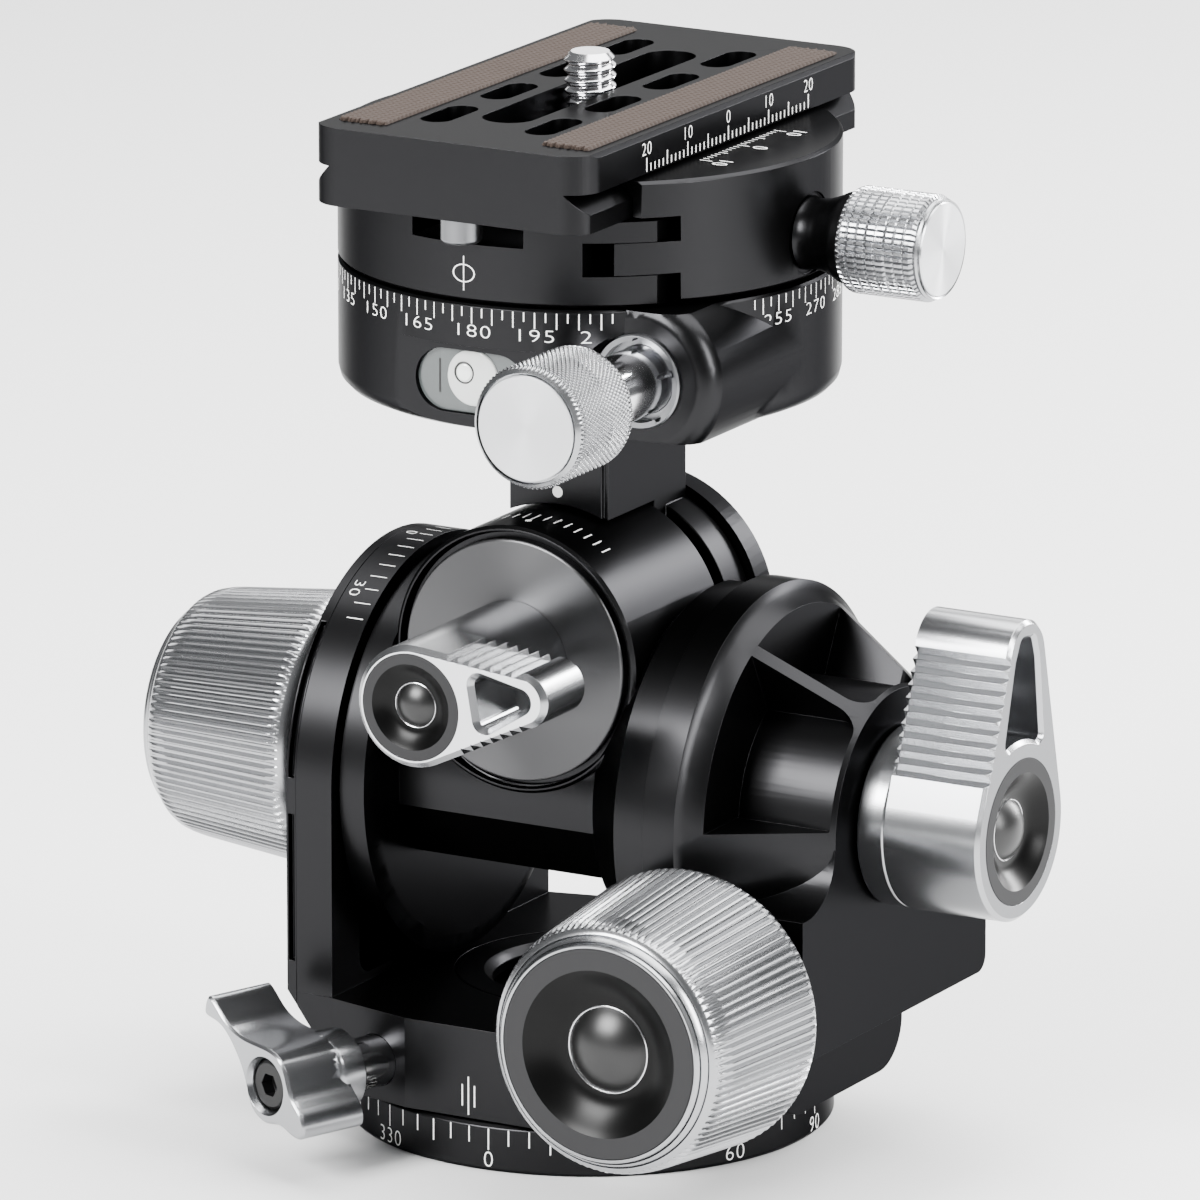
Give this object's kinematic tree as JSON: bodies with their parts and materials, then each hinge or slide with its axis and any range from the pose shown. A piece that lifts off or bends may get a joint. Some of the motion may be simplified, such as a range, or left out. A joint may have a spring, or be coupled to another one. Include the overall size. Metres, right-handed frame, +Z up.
{
  "type": "geared tripod head",
  "caption": "Geared tripod head with two worm-driven tilt axes, locking levers, a panning base, a panorama clamp with a level, and a sliding dovetail camera plate.",
  "frame": {"origin": "centre of the base's under face, on the lower panning axis", "axes": "+Z up along the panning axis, +X towards the gear housing and its lock lever, -Y towards the front control knob and the level window"},
  "size_m": [0.1166, 0.09, 0.1326],
  "materials": {
    "black_satin": "black anodised, satin",
    "grey_satin": "grey anodised, fine turned",
    "silver_satin": "clear anodised, satin",
    "polished_steel": "polished",
    "brushed_steel": "machined",
    "black_steel": "blackened steel",
    "brass": "machined",
    "black_gloss": "smooth gloss",
    "white_plastic": "matt",
    "vial_glass": "clear",
    "grip_rubber": "fine ribbed"
  },
  "bodies": {
    "base": {"pan_base_disc": "black_satin", "base_socket_insert": "brushed_steel", "pan_retainer": "black_satin", "axle_bolt": "brushed_steel"},
    "frame": {"base_frame": "black_satin", "axle_cap": "black_satin", "side_cover": "black_satin", "cover_screws": "black_steel", "tilt_gear_housing": "black_satin", "housing_bolts": "black_steel", "tilt_bush": "black_satin", "pan_brake_shoe": "brass"},
    "pan_lock": {"wing_lever": "silver_satin", "wing_lever_screw": "black_steel", "wing_lever_stud": "polished_steel"},
    "tilt_control": {"tilt_knob": "silver_satin", "tilt_knob_insert": "black_gloss", "tilt_worm": "polished_steel"},
    "tilt_lock": {"tilt_lever": "silver_satin", "tilt_lever_hub": "silver_satin", "tilt_lever_insert": "black_gloss"},
    "tilt_carrier": {"tilt_body": "black_satin", "barrel_cap": "grey_satin", "rear_cap": "black_satin", "roll_bush": "brass", "tilt_wheel": "brass", "tilt_pivot_shaft": "polished_steel", "roll_shaft": "polished_steel"},
    "roll_control": {"roll_knob": "silver_satin", "roll_knob_insert": "black_gloss", "roll_worm": "polished_steel"},
    "roll_lock": {"roll_lever": "silver_satin", "roll_lever_insert": "black_gloss", "roll_lever_stud": "polished_steel"},
    "post": {"roll_arm": "black_satin", "roll_wheel": "brass", "top_scale_ring": "black_satin", "ring_screws": "black_steel", "level_body": "white_plastic", "level_vial": "vial_glass", "top_lock_collar": "polished_steel"},
    "top_lock": {"top_lock_knob": "silver_satin", "top_lock_face": "silver_satin", "top_lock_stud": "polished_steel"},
    "clamp": {"clamp_body": "black_satin"},
    "jaw": {"clamp_jaw": "black_satin", "jaw_guide_pins": "polished_steel"},
    "clamp_control": {"clamp_knob": "silver_satin", "clamp_knob_cap": "silver_satin", "clamp_screw": "polished_steel"},
    "plate": {"quick_plate": "black_satin", "grip_pads": "grip_rubber", "stop_pins": "polished_steel"},
    "carrier": {"screw_carrier": "black_satin"},
    "screw": {"camera_screw": "polished_steel"}
  },
  "joints": [
    {"name": "pan_rotation", "type": "hinge", "parent": "base", "child": "frame", "pos_m": [0, 0, 0.0093], "axis": [0, 0, 1], "continuous": true},
    {"name": "pan_lock_turn", "type": "hinge", "parent": "frame", "child": "pan_lock", "pos_m": [-0.0136, -0.0284, 0.0113], "axis": [-0.3584, -0.9336, 0], "range_deg": [-35, 55]},
    {"name": "tilt", "type": "hinge", "parent": "frame", "child": "tilt_carrier", "pos_m": [0, 0, 0.0432], "axis": [1, 0, 0], "range_deg": [-30, 25]},
    {"name": "tilt_drive", "type": "hinge", "parent": "frame", "child": "tilt_control", "pos_m": [0.0316, 0, 0.0254], "axis": [0, 1, 0], "range_deg": [-1100, 1100]},
    {"name": "tilt_lock_turn", "type": "hinge", "parent": "frame", "child": "tilt_lock", "pos_m": [0.0426, 0, 0.0432], "axis": [1, 0, 0], "range_deg": [-60, 60]},
    {"name": "roll", "type": "hinge", "parent": "tilt_carrier", "child": "post", "pos_m": [0, 0, 0.061], "axis": [0, 1, 0], "range_deg": [-30, 30]},
    {"name": "roll_drive", "type": "hinge", "parent": "tilt_carrier", "child": "roll_control", "pos_m": [0, 0, 0.0432], "axis": [1, 0, 0], "range_deg": [-1100, 1100]},
    {"name": "roll_lock_turn", "type": "hinge", "parent": "tilt_carrier", "child": "roll_lock", "pos_m": [0, -0.0187, 0.061], "axis": [0, -1, 0], "range_deg": [0, 75]},
    {"name": "top_lock_turn", "type": "hinge", "parent": "post", "child": "top_lock", "pos_m": [0.0203, -0.0383, 0.0993], "axis": [0, -1, 0], "range_deg": [-180, 180]},
    {"name": "top_pan", "type": "hinge", "parent": "post", "child": "clamp", "pos_m": [0, 0, 0.108], "axis": [0, 0, 1], "continuous": true},
    {"name": "jaw_slide", "type": "slide", "parent": "clamp", "child": "jaw", "axis": [1, 0, 0], "range_m": [0, 0.002]},
    {"name": "clamp_turn", "type": "hinge", "parent": "jaw", "child": "clamp_control", "pos_m": [0.0366, 0, 0.1136], "axis": [1, 0, 0], "range_deg": [0, 720]},
    {"name": "plate_slide", "type": "slide", "parent": "clamp", "child": "plate", "axis": [0, 1, 0], "range_m": [-0.008, 0.008]},
    {"name": "screw_slide", "type": "slide", "parent": "plate", "child": "carrier", "axis": [0, 1, 0], "range_m": [-0.019, 0.019]},
    {"name": "screw_turn", "type": "hinge", "parent": "carrier", "child": "screw", "pos_m": [0, 0, 0.122], "axis": [0, 0, 1], "continuous": true}
  ],
  "couplings": [
    {"joint": "tilt_drive", "follows": "tilt", "ratio": -36},
    {"joint": "roll_drive", "follows": "roll", "ratio": 36},
    {"joint": "clamp_turn", "follows": "jaw_slide", "rad_per_m": 6283.2}
  ]
}
